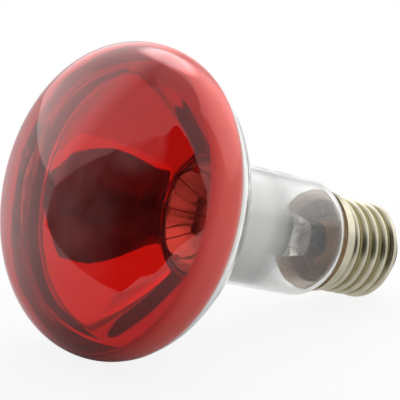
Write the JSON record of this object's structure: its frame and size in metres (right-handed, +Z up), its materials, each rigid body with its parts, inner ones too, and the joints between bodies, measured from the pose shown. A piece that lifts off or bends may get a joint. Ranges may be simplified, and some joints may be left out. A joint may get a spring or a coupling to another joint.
{
  "type": "reflector bulb",
  "caption": "Red reflector bulb: domed lacquered face, mirrored bowl, milky neck, coiled filament inside and a screw cap with a round thread.",
  "frame": {"origin": "middle of the lamp's footprint box, on the surface it lies on", "axes": "+Z up, face towards -X, cap towards +X; the lamp's axis lies in the XZ plane, with the face end raised by the tilt it takes when it rests on its rim and its cap"},
  "size_m": [0.1129, 0.0802, 0.0778],
  "materials": {
    "bulb_glass": "clear, turning milky white towards the bowl",
    "red_lacquer": "transparent red lacquer, glossy",
    "mirror": "evaporated aluminium, bright inside, satin white seen through the glass",
    "tungsten": "dark grey tungsten coil",
    "lead_wire": "nickel wire",
    "support_wire": "molybdenum wire",
    "copper_wire": "bare copper wire",
    "stem_glass": "clear glass, fire polished",
    "cap_metal": "nickel plated brass sheet, pale and warm",
    "cement": "brown baked putty",
    "insulator": "black glass, smooth",
    "contact_brass": "plain brass",
    "solder": "dull grey solder"
  },
  "bodies": {
    "root": {"glass_envelope": "bulb_glass", "red_lacquer": "red_lacquer", "mirror_coating": "mirror", "filament": "tungsten", "inner_lead_upper": "lead_wire", "inner_lead_lower": "lead_wire", "filament_support_1": "support_wire", "filament_support_2": "support_wire", "filament_support_3": "support_wire", "outer_lead_contact": "copper_wire", "outer_lead_rim": "copper_wire", "glass_stem": "stem_glass", "exhaust_tube": "stem_glass", "support_rod": "stem_glass", "cap_shell": "cap_metal", "basing_cement": "cement", "cap_insulator": "insulator", "tip_contact": "contact_brass", "tip_solder": "solder", "rim_solder": "solder"}
  },
  "joints": []
}
